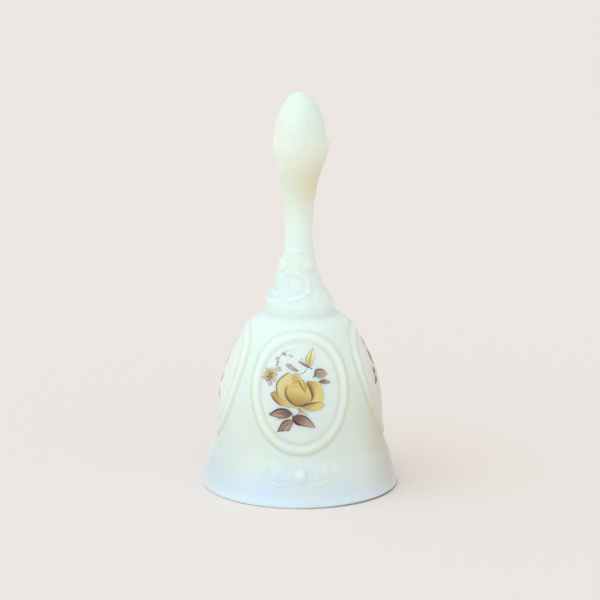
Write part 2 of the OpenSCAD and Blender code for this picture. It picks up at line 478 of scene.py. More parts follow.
roses = np.zeros(len(radius))
for turn, hand in ((0, 1), (180, -1)):
    spots = seen_from(turn) * (hand, 1)
    from_heart = np.hypot(*(spots - HEART).T)
    flower = 0.42 * pad(spots, FLOWER) * (1 - 0.85 * bump(from_heart - 3.3, 1.0))
    flower = np.maximum(flower, 0.5 * (1 - step_up(from_heart, 1.8, 2.9)) + 0.2 * bump(from_heart - 1.5, 0.7))
    for share, points in PETAL_EDGES:
        flower = np.maximum(flower, share * ridge(spots, points, 1.1))
    for share, points in LEAF_PATCHES:
        flower = np.maximum(flower, share * pad(spots, points, 1.6))
    flower = np.maximum(flower, buds(spots, LEAF_BUDS))
    for points in VEINS:
        flower = flower - 0.36 * ridge(spots, points, 0.65)
    roses = np.maximum(roses, flower)
press("handle_roses", roses / FULL_SHARE, ROSE_LIFT)

# %% Bosses and faint petals on the bulb
BOSS_Z = 148.9
BOSS_LIFT = 1.7
BULB_LINES = [
    [(-6.2, 158.2), (-3.6, 157.2), (-1.2, 155.9), (1.7, 155.5)], [(0.6, 160.4), (2.3, 158.4), (2.2, 156.2)],
    [(-3.4, 161.2), (-1.4, 160.4), (0.2, 158.6)],
]
BULB_CREASES = [
    [(-5.1, 142.9), (-1.6, 143.6), (1.2, 144.7)], [(-6.5, 137.6), (-3.0, 138.2), (0.5, 139.9)],
    [(3.0, 141.6), (5.0, 140.4), (6.6, 139.3)],
]
bosses = np.zeros(len(radius))
# By side in degrees, one full boss and one worn one, each with a small drop under it
for side, share in ((90, 1.0), (288, 0.38)):
    gap = (azimuth - side + 180) % 360 - 180
    across, up = np.radians(gap) * radius, arc_at(height) - arc_at(BOSS_Z)
    bosses = np.maximum(bosses, share * (1 - step_up(np.hypot(across, up), 1.3, 4.3)))
    bosses = np.maximum(bosses, 0.4 * share * (1 - step_up(np.hypot(across, up + 5.6), 0.4, 2.6)))
press("bulb_bosses", bosses, BOSS_LIFT)
for name, lines, width, lift in (("bulb_petals", BULB_LINES, 1.3, 0.42),
                                 ("bulb_creases", BULB_CREASES, 1.5, -0.35)):
    petals = np.zeros(len(radius))
    for turn in (0, 180):
        spots = seen_from(turn)
        for points in lines:
            petals = np.maximum(petals, ridge(spots, points, width))
    press(name, petals, lift)

# %% Beads and scrolls over the rim
BAND_Z = 13.4
BEAD_LIFT = 1.7
SCROLL_LIFT = 0.62
SCROLL = [
    (2.6, 13.6), (5.6, 12.6), (8.6, 14.2), (11.6, 16.8),
    (14.6, 17.4), (17.0, 15.6), (16.2, 13.9), (14.4, 14.6),
]
SCROLL_LEAVES = [
    [(4.6, 14.6), (6.4, 17.0), (8.6, 18.0), (7.6, 15.4)],
    [(8.4, 12.8), (10.6, 11.8), (12.9, 12.4), (10.8, 13.8)],
    [(11.4, 18.0), (13.2, 20.0), (15.4, 20.2), (13.8, 18.2)],
    [(17.6, 17.0), (19.8, 17.8), (21.4, 16.6), (19.2, 15.8)],
]
SCROLL_CURLS = [
    [(7.0, 13.4), (7.6, 14.8), (9.2, 15.2), (10.5, 13.8), (9.8, 12.2), (8.2, 11.8), (7.2, 12.8)],
    [(5.4, 10.6), (8.2, 9.7), (11.6, 10.9), (13.8, 12.8)],
]
SCROLL_BUDS = [(15.7, 15.4, 2.9, 1.0), (11.0, 17.4, 2.4, 0.6), (10.4, 14.0, 2.8, 0.8)]
# By the turn, the height, radius and share of a bead under each rose and of a palmette under each spray
BAND_MIDDLES = {0: (BAND_Z, 3.3, 1.0), 90: (15.0, 4.8, 0.15), 180: (BAND_Z, 3.3, 1.0), 270: (15.0, 5.2, 0.65)}
beads = np.zeros(len(radius))
scrolls = np.zeros(len(radius))
for turn, (z, size, share) in BAND_MIDDLES.items():
    spots = seen_from(turn)
    beads = np.maximum(beads, buds(spots, [(0.3, z, size, share)]))
    for side in (-1, 1):
        scrolls = np.maximum(scrolls, 0.6 * ridge(spots, [(side * x, z) for x, z in SCROLL], 1.7))
        for points in SCROLL_CURLS:
            scrolls = np.maximum(scrolls, 0.9 * ridge(spots, [(side * x, z) for x, z in points], 1.0))
        for points in SCROLL_LEAVES:
            scrolls = np.maximum(scrolls, 0.9 * pad(spots, [(side * x, z) for x, z in points], 1.3))
        scrolls = np.maximum(scrolls, buds(spots * (side, 1), SCROLL_BUDS))
press("band_beads", beads, BEAD_LIFT)
press("band_scrolls", scrolls, SCROLL_LIFT)

# The handle was still soft when the mould opened, and its neck sagged a little to the left
NECK_SAG = 0.45
press("handle_sag", step_up(height, 78, 90) * (1 - step_up(height, 132, 146)), -NECK_SAG, "X")

bpy.ops.object.shade_smooth()
print("bell, mm:", [round(v / MM, 2) for v in bell.dimensions])

# %% [markdown]
# ## Satin opal glass
#
# Opal glass is clouded with tiny crystals: blue light scatters back from the thin edges, and warm light gets
# through the thick parts. The etched skin has no mirror gloss. So the shader is mostly subsurface
# scattering with a broad, weak highlight. The base colour also holds painted light and shade. Grooves, where
# the glass is thinner, and the collar take a yellower painted shade; broad patches paint shade on the right
# side and on the left; a dark painted shadow line runs round the foot on the right; and the rim, where
# the eye looks along the wall, is painted faintly blue for the light that the thin opal scatters back.

# %% Mark the grooves and the plates for the shader
COLLAR_Z = 76.4
# The grooves and the collar line are marked for painted shade in the base colour
collar = np.where(is_outside, bump(height - COLLAR_Z, 1.8), 0)
recess_shade = np.clip(grooves + 0.35 * collar, 0, 1)
plate = np.where(is_outside, 1 - step_up(from_frame, -4.0, -1.0), 0)
for name, values in (("recess_shade", recess_shade), ("plate", plate)):
    mark = bell.data.attributes.new(name, "FLOAT", "POINT")
    mark.data.foreach_set("value", values.astype(np.float32))
print("points on the plates:", int((plate > 0.5).sum()))

# %% Mix the glass
glass, tree, shader = new_material("acid_etched_opal_glass")
place = add_node(tree, "ShaderNodeTexCoord")
axes = add_node(tree, "ShaderNodeSeparateXYZ", {"Vector": place.outputs["Object"]})
rise = add_node(tree, "ShaderNodeMapRange", {"Value": axes.outputs["Z"]}, From_Max=BELL_TOP * MM)
tint_by_height = add_node(tree, "ShaderNodeValToRGB", {"Fac": rise.outputs["Result"]})
# Tone by height. The stop at the very foot is a pale line of painted light where the floor's contact shade
# falls, and just above it the rim is painted faintly blue for the light that the thin opal scatters back
set_ramp(tint_by_height, [(0.0, "#F0F0EC"), (0.008, "#DCEEFF"), (0.035, "#D7E5F3"), (0.11, "#DDE9E8"),
                          (0.22, "#E1EAE4"), (0.33, "#E6F1EC"), (0.42, "#E2F5F6"), (0.52, "#E4F4F4"),
                          (0.66, "#E5F6F4"), (0.77, "#E4EADC"), (0.87, "#EAF3EA"), (1.0, "#DDF3EF")])
# The melt is never quite even: soft clouds about 20 mm across
clouds = add_node(tree, "ShaderNodeTexNoise", {"Vector": place.outputs["Object"]}, Scale=48.0, Detail=2.0)
cloud_ramp = add_node(tree, "ShaderNodeMapRange", {"Value": clouds.outputs["Fac"]},
                      From_Min=0.35, From_Max=0.7)
cream_amount = add_node(tree, "ShaderNodeMath", {0: cloud_ramp.outputs["Result"], 1: 0.35},
                        operation="MULTIPLY")
cream = add_node(tree, "ShaderNodeMix", {0: cream_amount.outputs["Value"], 6: tint_by_height.outputs["Color"],
                                         7: linear("#ECE6D2") + [1]}, data_type="RGBA")
# A few broad patches: the warm and grey ones on the right side, and the grey ones low on the left and left of
# the handle's base, are painted shade; a pale yellow one sits low on the bulb
melt = cream.outputs[2]
for centre, reach, cloud_colour, amount in (
        ((0.040, -0.004, 0.038), 0.033, "#C2AC84", 0.62), ((0.041, -0.012, 0.012), 0.026, "#BEB8A8", 0.50),
        ((0.008, -0.004, 0.134), 0.017, "#E8DAA8", 0.46), ((-0.036, -0.014, 0.012), 0.030, "#C8D2D6", 0.50),
        ((-0.012, 0.0, 0.088), 0.020, "#CFE4E6", 0.50)):
    away = add_node(tree, "ShaderNodeVectorMath", {0: place.outputs["Object"], 1: centre},
                    operation="DISTANCE")
    spread = add_node(tree, "ShaderNodeMapRange", {"Value": away.outputs["Value"]},
                      From_Min=reach, From_Max=0.0, To_Max=amount, interpolation_type="SMOOTHSTEP")
    shade_and_tint_patch = add_node(tree, "ShaderNodeMix",
                     {0: spread.outputs["Result"], 6: melt, 7: linear(cloud_colour) + [1]},
                     data_type="RGBA")
    melt = shade_and_tint_patch.outputs[2]
# The round at the foot's outer edge holds a dark line of painted shadow where the rim meets the floor,
# heaviest on the right
low = add_node(tree, "ShaderNodeMapRange", {"Value": axes.outputs["Z"]}, From_Min=0.0010, From_Max=0.0006)
flat_place = add_node(tree, "ShaderNodeVectorMath", {0: place.outputs["Object"], 1: (1, 1, 0)},
                      operation="MULTIPLY")
from_axis = add_node(tree, "ShaderNodeVectorMath", {0: flat_place.outputs["Vector"]}, operation="LENGTH")
outer = add_node(tree, "ShaderNodeMapRange", {"Value": from_axis.outputs["Value"]},
                 From_Min=0.0416, From_Max=0.0419)
right = add_node(tree, "ShaderNodeMapRange", {"Value": axes.outputs["X"]},
                 From_Min=-0.004, From_Max=0.036, To_Max=0.85)
rim_shadow_side = add_node(tree, "ShaderNodeMath", {0: low.outputs["Result"], 1: right.outputs["Result"]},
                       operation="MULTIPLY")
rim_shadow_amount = add_node(tree, "ShaderNodeMath", {0: rim_shadow_side.outputs["Value"], 1: outer.outputs["Result"]},
                      operation="MULTIPLY")
rim_shadow_mix = add_node(tree, "ShaderNodeMix", {0: rim_shadow_amount.outputs["Value"], 6: melt, 7: linear("#46443F") + [1]},
                data_type="RGBA")
melt = rim_shadow_mix.outputs[2]
# The grooves and the collar get a yellower painted shade, and then the plates are tinted a little whiter
for mark_name, amount, mark_colour in (("recess_shade", 0.55, "#D2DAC2"), ("plate", 0.45, "#E8ECEE")):
    mark_read = add_node(tree, "ShaderNodeAttribute", attribute_name=mark_name)
    mark_amount = add_node(tree, "ShaderNodeMath", {0: mark_read.outputs["Fac"], 1: amount},
                           operation="MULTIPLY")
    tint = add_node(tree, "ShaderNodeMix",
                    {0: mark_amount.outputs["Value"], 6: melt, 7: linear(mark_colour) + [1]},
                    data_type="RGBA")
    melt = tint.outputs[2]
tree.links.new(melt, shader.inputs["Base Color"])
# Etched skin: fine grain of 0.4 mm and a slow ripple of about 6 mm left by the mould
grain = add_node(tree, "ShaderNodeTexNoise", {"Vector": place.outputs["Object"]}, Scale=2500.0, Detail=3.0)
ripple = add_node(tree, "ShaderNodeTexNoise", {"Vector": place.outputs["Object"]}, Scale=170.0, Detail=2.0)
skin = add_node(tree, "ShaderNodeBump", {"Height": ripple.outputs["Fac"]}, Strength=0.25, Distance=0.0006)
fine = add_node(tree, "ShaderNodeBump", {"Height": grain.outputs["Fac"], "Normal": skin.outputs["Normal"]},
                Strength=0.12, Distance=0.0001)
tree.links.new(fine.outputs["Normal"], shader.inputs["Normal"])
rough = add_node(tree, "ShaderNodeMapRange", {"Value": ripple.outputs["Fac"]}, To_Min=0.42, To_Max=0.56)
tree.links.new(rough.outputs["Result"], shader.inputs["Roughness"])
shader.inputs["IOR"].default_value = 1.5
shader.inputs["Specular IOR Level"].default_value = 0.25
shader.inputs["Subsurface Weight"].default_value = 1.0
shader.inputs["Subsurface Radius"].default_value = (1.0, 0.66, 0.44)
shader.inputs["Subsurface Scale"].default_value = 0.0040
bell.data.materials.append(glass)

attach(bell, "bell")
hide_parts("glass_bell")
print("glass dressed on", bell.name)

# %% [markdown]
# ## Flowers in enamel
#
# The flowers are painted by hand in ground glass colours and fired on, so they are a film that is a little
# thicker and glossier than the satin round it. The film starts as a fine grid laid in front of a medallion.
# Each brush stroke is laid over the last one as colour and cover on the grid's points. Then the bare part of
# the grid is deleted and the rest is wrapped onto the glass.

# %% Lay out the canvas
CANVAS_X = (-17.0, 14.0)
CANVAS_Y = (-18.4, 18.8)
THREAD = 0.16


def lay_canvas(name):
    """A bare grid in front of the front medallion, its points' places in mm from the medallion's middle."""
    global canvas, colour, cover
    columns = round((CANVAS_X[1] - CANVAS_X[0]) / THREAD)
    rows = round((CANVAS_Y[1] - CANVAS_Y[0]) / THREAD)
    deselect()
    bpy.ops.mesh.primitive_grid_add(
        x_subdivisions=columns, y_subdivisions=rows, size=1,
        location=(sum(CANVAS_X) / 2 * MM, -(MOUTH_R + 4) * MM, (MEDALLION_Z + sum(CANVAS_Y) / 2) * MM),
        rotation=(math.pi / 2, 0, 0))
    film = bpy.context.object
    film.name = name
    film.scale = ((CANVAS_X[1] - CANVAS_X[0]) * MM, (CANVAS_Y[1] - CANVAS_Y[0]) * MM, 1)
    bpy.ops.object.transform_apply(location=True, rotation=True, scale=True)
    canvas = np.empty(len(film.data.vertices) * 3)
    film.data.vertices.foreach_get("co", canvas)
    canvas = canvas.reshape(-1, 3) / MM
    canvas = np.stack([canvas[:, 0], canvas[:, 2] - MEDALLION_Z], axis=1)
    colour = np.zeros((len(canvas), 3))
    cover = np.zeros(len(canvas))
    print(name, "points on the canvas:", len(canvas))
    return film


rose_film = lay_canvas("enamel_rose_front")
hairs = np.random.default_rng(7)


# %% [markdown]
# ### Brush strokes
#
# A stroke is either a petal, between two edges that meet in points, or a line with tapered ends. The brush
# leaves fine streaks along its path and a darker pool of colour where it was pressed down or lifted off.

# %% Brushes
def lay(amount, shade):
    """Lays a shade over what is painted, where the amount is above 0."""
    global colour, cover
    amount = np.clip(amount, 0, 1)
    colour = colour * (1 - amount[:, None]) + shade * amount[:, None]
    cover = cover * (1 - amount) + amount


def streaks(angle, width=0.35):
    """Soft random stripes of a given width that run along an angle, between -1 and 1."""
    across = canvas @ np.array([-math.sin(angle), math.cos(angle)])
    along = canvas @ np.array([math.cos(angle), math.sin(angle)])
    wave = np.zeros(len(canvas))
    for k in range(4):
        turn, pace = hairs.uniform(0, math.tau), hairs.uniform(0.5, 1.4)
        wave += np.sin(across * math.tau / (width * (1 + 0.7 * k)) + turn + 0.5 * np.sin(along * pace + turn))
    return wave / 4


def petal(edge, other_edge, light, dark, shade_from, rim=None, rim_side=None, reach=0.95, soft=0.2,
          hair=0.10):
    """A filled stroke that turns from light to dark along the angle shade_from.

    It lies between two edges that share their end points, so the other edge gives only the points between.
    """
    other_edge = [edge[0]] + other_edge + [edge[-1]]
    outline = smooth(edge, 0.4) + list(reversed(smooth(other_edge, 0.4)))[1:-1]
    near, _, inside = distances(canvas, outline, True)
    depth = np.where(inside, near, -near)
    a = math.radians(shade_from)
    towards = canvas @ np.array([math.cos(a), math.sin(a)])
    low, high = towards[inside].min(), towards[inside].max()
    t = step_up((towards - low) / (high - low), 0.05, reach)
    t = np.clip(t + hair * streaks(a + math.pi / 2), 0, 1)
    shade = np.outer(1 - t, linear(light)) + np.outer(t, linear(dark))
    if rim:
        width, edge = (rim_side or (0.5, None))
        pool = bump(np.clip(depth, 0, None), width) * 0.9
        if edge is not None:
            e = math.radians(edge)
            middle = canvas[inside].mean(axis=0)
            facing = (canvas - middle) @ np.array([math.cos(e), math.sin(e)])
            pool = pool * step_up(facing / max(np.abs(facing[inside]).max(), 0.1), -0.1, 0.35)
        shade = shade * (1 - pool[:, None]) + pool[:, None] * np.array(linear(rim))
    lay(0.95 * step_up(depth, -soft / 2, soft) * (1 - 0.06 * streaks(a + math.pi / 2)), shade)


def line(points, width, shade, strength=0.9, blunt=0.0):
    """A thin stroke that swells in the middle and tapers to both ends."""
    near, along, _ = distances(canvas, smooth(points, 0.3), False)
    swell = blunt + (1 - blunt) * np.sin(np.clip(along, 0.02, 0.98) * math.pi) ** 0.6
    lay(strength * (1 - step_up(near, width / 2 * swell - 0.08, width / 2 * swell + 0.12)),
        np.array(linear(shade)))


def dab(x, y, long, wide, lean, light, dark, rim=None):
    """A small touch of the brush: a short petal about a point."""
    a = math.radians(lean)
    tip = Vector((math.cos(a), math.sin(a))) * long / 2
    side = Vector((-math.sin(a), math.cos(a))) * wide / 2
    middle = Vector((x, y))
    petal([middle - tip, middle + side, middle + tip], [middle - side],
          light, dark, lean, rim=rim, rim_side=(0.35, None), soft=0.16, hair=0.05)


# %% [markdown]
# ### The rose
#
# The painter works from the back of the flower to the front: outer petals, the cup, and then the small
# petals that cross in its throat. Each petal is ochre, thinned to yellow at one end, with a brown edge where
# it turns away. The places are in millimetres from the middle of the medallion.

# %% Paint the rose
TAN, BROWN, DEEP_BROWN = "#B0905A", "#8A6844", "#6B4A3A"

petal([(3.4, 4.8), (5.6, 4.6), (7.9, 4.3), (9.3, 2.6), (10.1, 0.3), (10.4, -1.8), (9.8, -3.8)],
      [(2.9, 3.2), (3.8, 1.0), (4.5, -0.8), (4.2, -3.0), (3.4, -4.6), (7.4, -4.4)],
      "#C3A058", "#E2CF86", -20, rim="#EADCA4", rim_side=(1.1, 10), reach=0.7, soft=0.8, hair=0.14)
petal([(-1.0, -5.4), (3.2, -4.5), (7.0, -3.9), (10.3, -4.4)],
      [(1.4, -6.6), (3.0, -7.4), (5.8, -7.9), (8.8, -7.1), (10.5, -5.8)],
      "#B08A4C", "#E6CE80", -12, reach=0.8, soft=1.2, hair=0.14)
petal([(-12.6, -0.6), (-11.4, -2.8), (-9.0, -4.9), (-6.6, -5.6), (-4.0, -6.1), (-1.0, -6.4), (1.2, -6.1)],
      [(-10.6, 0.1), (-9.3, -0.7), (-8.0, -2.3), (-5.6, -3.4), (-2.4, -4.2)],
      "#C09C58", "#DFC981", 10, rim=TAN, rim_side=(0.5, 230), reach=0.7, hair=0.14)
petal([(-4.7, 8.2), (-6.9, 6.8), (-8.7, 5.2), (-9.8, 3.4), (-10.0, 1.4), (-9.5, -0.4), (-8.4, -2.2),
       (-6.6, -3.6), (-4.0, -4.7)],
      [(-3.0, 6.6), (-3.2, 4.3), (-5.0, 2.8), (-5.7, 0.5), (-5.5, -1.8)],
      "#E2D096", "#D3BB76", -40, rim="#9C7A50", rim_side=(0.8, 150), hair=0.16)
petal([(-3.4, 5.4), (-3.0, 7.1), (-1.5, 8.0), (-0.2, 7.1), (0.8, 5.0)],
      [(-2.2, 4.4), (-0.6, 4.2)], "#BFA55E", "#DAC888", 60, rim=TAN, rim_side=(0.35, 120))
petal([(-2.6, 5.4), (-4.9, 3.5), (-6.1, 0.2), (-4.9, -2.7), (-2.5, -4.8), (0.1, -5.3)],
      [(0.2, 5.5), (2.7, 3.6), (4.1, 1.1), (4.9, -0.7), (4.7, -2.9), (2.5, -4.7)],
      "#B6934F", "#DDC87C", 75, rim=BROWN, rim_side=(0.85, 235), reach=0.62, hair=0.08)
for points, width in (([(-3.8, 3.6), (-2.0, 3.9), (-0.2, 3.4)], 0.9),
                      ([(-4.2, 1.6), (-2.6, 2.6), (-0.4, 2.2)], 0.6),
                      ([(-2.8, 4.6), (-1.2, 4.2), (0.4, 2.8), (1.0, 1.4)], 0.8)):
    line(points, width, "#B59A5A", 0.40)
petal([(-0.5, 4.9), (0.3, 5.6), (1.5, 5.0), (2.9, 2.8), (2.6, 0.9), (2.2, 0.0)],
      [(0.2, 3.3), (1.1, 1.7)],
      "#DAC57A", "#BFA258", -60, rim=BROWN, rim_side=(0.4, 20), soft=0.16)

for points, width, shade, strength in (
        ([(-3.1, 5.0), (-1.7, 4.6), (-0.4, 4.9), (0.2, 3.4), (1.0, 1.8), (2.3, 0.0)], 0.45, DEEP_BROWN, 0.85),
        ([(0.9, 4.9), (1.6, 3.9), (2.2, 2.4), (2.2, 1.2)], 0.30, TAN, 0.8),
        ([(-1.9, 7.0), (-1.6, 6.0), (-1.8, 5.2)], 0.30, TAN, 0.7),
        ([(3.4, 4.8), (3.1, 3.8), (4.1, 1.9), (5.0, -0.2), (5.2, -2.2), (4.6, -3.9)], 0.85, DEEP_BROWN, 0.95),
        ([(3.9, 4.0), (5.0, 1.8), (5.8, -0.6), (5.8, -2.6)], 1.10, "#8E6A44", 0.6),
        ([(-4.6, -3.4), (-2.6, -4.9), (-0.2, -5.5), (2.6, -5.0), (5.0, -4.4), (7.9, -3.9)],
         0.60, DEEP_BROWN, 0.9),
        ([(1.6, -5.8), (4.6, -5.3), (7.4, -4.8)], 0.70, TAN, 0.55),
        ([(-5.4, 3.0), (-6.2, 1.2), (-6.2, -0.6), (-5.2, -2.8), (-3.2, -4.6), (-1.0, -5.3)],
         0.60, DEEP_BROWN, 0.8),
        ([(-5.0, 8.1), (-7.4, 6.4), (-9.3, 4.4), (-10.0, 1.8), (-9.6, -0.6), (-8.2, -2.4)], 0.40, BROWN, 0.8),
        ([(-12.4, -0.8), (-11.4, -2.6), (-9.4, -4.6), (-7.4, -5.5)], 0.70, DEEP_BROWN, 0.85),
        ([(-12.4, -0.6), (-10.8, 0.1), (-9.6, -0.5)], 0.30, BROWN, 0.55),
        ([(-0.6, -5.6), (2.4, -4.9), (5.0, -4.3), (8.6, -3.9)], 0.40, DEEP_BROWN, 0.7),
        ([(-9.9, -0.2), (-8.6, -2.2), (-6.2, -4.0)], 0.35, TAN, 0.6),
        ([(-4.6, -5.2), (-1.6, -5.7), (0.8, -5.8)], 0.35, TAN, 0.6)):
    line(points, width, shade, strength)
print("rose painted")

# %% Paint the leaves and the stems
PLUM, PLUM_MID, PLUM_PALE = "#5E4145", "#86675F", "#B29888"


def leaf_stroke(edge, other_edge, light, dark, shade_from, dark_side):
    petal(edge, other_edge, light, dark, shade_from, rim=PLUM, rim_side=(0.75, dark_side), hair=0.16)


petal([(-1.4, -6.6), (0.2, -6.6), (2.0, -7.8), (3.9, -9.6)],
      [(-0.4, -7.8), (1.6, -9.1)], "#B8986A", "#DCCB9C", -40, rim=TAN, rim_side=(0.3, 60))
leaf_stroke([(-13.3, -9.7), (-11.0, -8.0), (-8.6, -6.8), (-6.0, -6.9), (-4.2, -7.6), (-2.9, -8.7)],
            [(-10.7, -10.3), (-7.7, -10.9), (-4.8, -10.4)], "#AE9486", "#775549", 25, 110)
leaf_stroke([(-3.5, -9.9), (-1.2, -9.4), (1.4, -9.6), (3.6, -11.0), (6.9, -14.8)],
            [(-2.9, -11.3), (-1.5, -12.8), (0.4, -13.7), (4.2, -14.1)],
            "#6B4A4A", "#C4AE9A", -30, 200)
leaf_stroke([(-2.3, -11.6), (-4.8, -11.5), (-7.4, -12.6), (-8.7, -14.6), (-9.8, -17.0)],
            [(-3.7, -14.2), (-4.7, -16.2), (-7.2, -16.2)], "#A48676", "#A88A78", -60, 150)
leaf_stroke([(5.2, 5.6), (6.3, 7.2), (6.6, 9.1), (8.9, 9.3), (10.9, 8.2), (11.6, 7.0)],
            [(6.6, 6.3), (8.1, 5.5), (10.2, 5.8)], "#A48A78", "#BEA896", 0, 120)
leaf_stroke([(7.7, 4.3), (10.0, 5.2), (12.2, 4.4), (13.2, 3.4)],
            [(8.9, 3.6), (10.9, 3.1)], "#C3AD98", "#8F7266", 150, 190)
leaf_stroke([(-6.3, 11.0), (-4.6, 11.5), (-2.4, 10.2), (0.1, 8.4)],
            [(-4.9, 9.7), (-2.4, 8.7)], "#BBA49A", "#CDBAAE", 30, -60)
for points, width, shade, strength in (
        ([(-13.2, -9.6), (-10.9, -8.0), (-8.6, -6.9), (-5.8, -7.0), (-3.6, -8.0)], 0.62, "#452B30", 0.95),
        ([(-13.0, -9.9), (-10.6, -10.4), (-7.6, -10.9), (-4.6, -10.3)], 0.28, PLUM, 0.7),
        ([(-3.2, -9.7), (-1.0, -9.3), (1.4, -9.6), (3.6, -11.0), (6.6, -14.6)], 0.50, "#4E3338", 0.9),
        ([(0.4, -13.7), (3.4, -14.2), (6.6, -14.8)], 0.32, PLUM, 0.75),
        ([(-2.6, -11.5), (-5.0, -11.4), (-7.2, -12.4), (-8.6, -14.6), (-9.7, -16.9)], 0.50, "#4E3338", 0.9),
        ([(-2.6, -11.9), (-3.7, -14.0), (-4.7, -16.0)], 0.28, PLUM, 0.6),
        ([(1.6, -11.4), (3.6, -12.6), (5.6, -14.1)], 0.9, "#D2C0AE", 0.35),
        ([(-11.6, -9.7), (-9.0, -9.6), (-6.4, -9.9)], 0.8, "#C8B2A4", 0.35),
        ([(-4.2, -13.0), (-5.4, -14.6), (-6.6, -15.6)], 0.9, "#C8B2A0", 0.35),
        ([(-11.6, -9.4), (-8.0, -8.6), (-4.0, -8.5)], 0.28, PLUM, 0.55),
        ([(-3.2, -10.0), (-2.7, -11.6), (-1.2, -13.0), (0.6, -13.7)], 1.00, "#452B30", 0.9),
        ([(-2.6, -10.2), (0.6, -11.0), (3.4, -12.6), (6.4, -14.5)], 0.30, PLUM, 0.6),
        ([(-3.2, -12.2), (-6.0, -13.8), (-9.2, -16.6)], 0.28, PLUM, 0.6),
        ([(-8.0, -16.3), (-6.6, -16.0)], 0.60, PLUM, 0.8),
        ([(6.3, 6.8), (8.2, 7.4), (10.4, 7.2)], 0.25, PLUM_MID, 0.6),
        ([(5.4, 6.0), (6.3, 7.4), (6.7, 9.0), (8.9, 9.2), (10.8, 8.2)], 0.40, PLUM, 0.85),
        ([(-6.2, 10.9), (-4.6, 11.4), (-2.6, 10.3)], 0.28, PLUM_MID, 0.6),
        ([(8.0, 4.3), (10.4, 4.1), (12.8, 3.5)], 0.25, PLUM, 0.6),
        ([(-3.4, -10.4), (-2.4, -9.6), (-1.2, -9.2)], 0.30, PLUM_MID, 0.7),
        ([(-1.6, -9.4), (-0.3, -8.2), (0.3, -7.2)], 0.32, "#8E7350", 0.8),
        ([(-3.2, -8.4), (-2.8, -9.6), (-2.4, -11.4)], 0.30, PLUM_MID, 0.7),
        ([(-11.4, -13.2), (-10.2, -11.9), (-8.6, -11.1), (-6.2, -10.7)], 0.22, PLUM_PALE, 0.8),
        ([(3.3, 9.9), (1.8, 8.2), (-0.6, 7.2)], 0.30, PLUM_MID, 0.8),
        ([(5.3, 5.6), (6.2, 6.9), (6.4, 8.6)], 0.28, PLUM, 0.7)):
    line(points, width, shade, strength)

# %% Paint the bud and the small blossom
petal([(2.1, 12.6), (2.6, 14.4), (3.6, 15.6), (5.4, 17.8)],
      [(3.6, 10.6), (4.6, 13.6)],
      "#D6C080", "#F0E8C4", 120, rim="#BFA468", rim_side=(0.35, 170), soft=0.35)
petal([(3.4, 10.4), (3.9, 13.2), (4.7, 15.8), (5.6, 17.7)],
      [(5.1, 11.0), (6.3, 14.4)],
      "#CDB26A", "#F2ECC8", 20, rim="#E6D8A0", rim_side=(0.3, 0), soft=0.45)
line([(3.5, 10.6), (4.2, 13.6), (5.4, 17.4)], 0.35, BROWN, 0.75)
line([(2.5, 12.0), (2.8, 13.8), (3.9, 15.6)], 0.25, TAN, 0.7)
petal([(-1.4, 12.7), (0.2, 12.6), (1.6, 12.0), (3.4, 10.7), (5.4, 9.5)],
      [(0.4, 11.4), (2.0, 10.5), (3.6, 9.8)],
      "#B79AA0", "#6E4E50", -20, rim=PLUM, rim_side=(0.35, 250))
dab(0.6, 13.2, 1.6, 0.6, 75, "#C8B0A8", "#A68A86")
dab(5.0, 9.6, 1.6, 0.5, 10, PLUM_MID, PLUM)

dab(-12.7, 6.4, 3.6, 3.2, 20, "#AD9662", "#C0AC78")
for x, y, lean, light in (
        (-12.0, 8.3, 80, "#C9AE70"), (-13.6, 8.2, 130, "#BFA57C"), (-14.1, 6.9, 165, "#CDB478"),
        (-15.2, 5.4, 190, "#CDB6A0"), (-13.8, 4.9, 225, "#C2A67A"), (-11.4, 5.0, -50, "#C9AC66"),
        (-10.8, 6.9, 10, "#CFB26A"), (-11.0, 8.4, 50, "#D4BE88")):
    dab(x, y, 2.6, 1.7, lean, light, "#DCC896", rim="#A88A60")
for x, y, lean in ((-12.9, 6.7, 100), (-12.2, 6.0, -30), (-13.4, 5.8, 200), (-12.0, 7.1, 40),
                   (-13.9, 4.4, 190), (-12.9, 4.9, 60)):
    dab(x, y, 1.5, 0.7, lean, "#77603A", "#604A30")
for x, y in ((-8.9, 9.2), (-12.7, 3.3)):
    dab(x, y, 2.4, 2.2, 70, "#D3BFB4", "#C4A99C", rim="#A88C80")
for x, y, lean in ((-9.5, 13.4, 20), (-9.4, 11.9, -20), (-7.1, 15.3, 30), (-6.2, 15.0, 60)):
    dab(x, y, 1.5, 1.1, lean, "#B79A66", "#D2BC8C", rim="#8E7250")
for x, y, long, lean in ((-3.8, 14.5, 2.9, -15), (-9.9, 10.7, 1.6, 70), (-10.4, 12.8, 0.9, 160)):
    dab(x, y, long, 0.7, lean, "#C0AC9C", "#A58C7C")
line([(-9.6, 9.8), (-9.2, 12.4), (-8.2, 14.3), (-6.6, 15.9), (-4.8, 16.6), (-2.6, 16.8)],
     0.20, "#9C8464", 0.75)
line([(-10.6, 3.9), (-10.2, 4.8), (-9.4, 8.4)], 0.18, "#B39C7C", 0.6)
print("painted points:", int((cover > 0.02).sum()))

# %% [markdown]
# ### Fire the film onto the glass
#
# The colours go into a vertex colour layer, with the cover as its alpha. The bare grid is selected and
# deleted. Shrinkwrap then throws the film back onto the glass, and Displace leaves it a few hundredths of a
# millimetre proud. The back medallion gets a copy of the rose, turned half way round, with its own mesh.

# %% Wrap the film and copy it
FILM_PROUD = 0.04


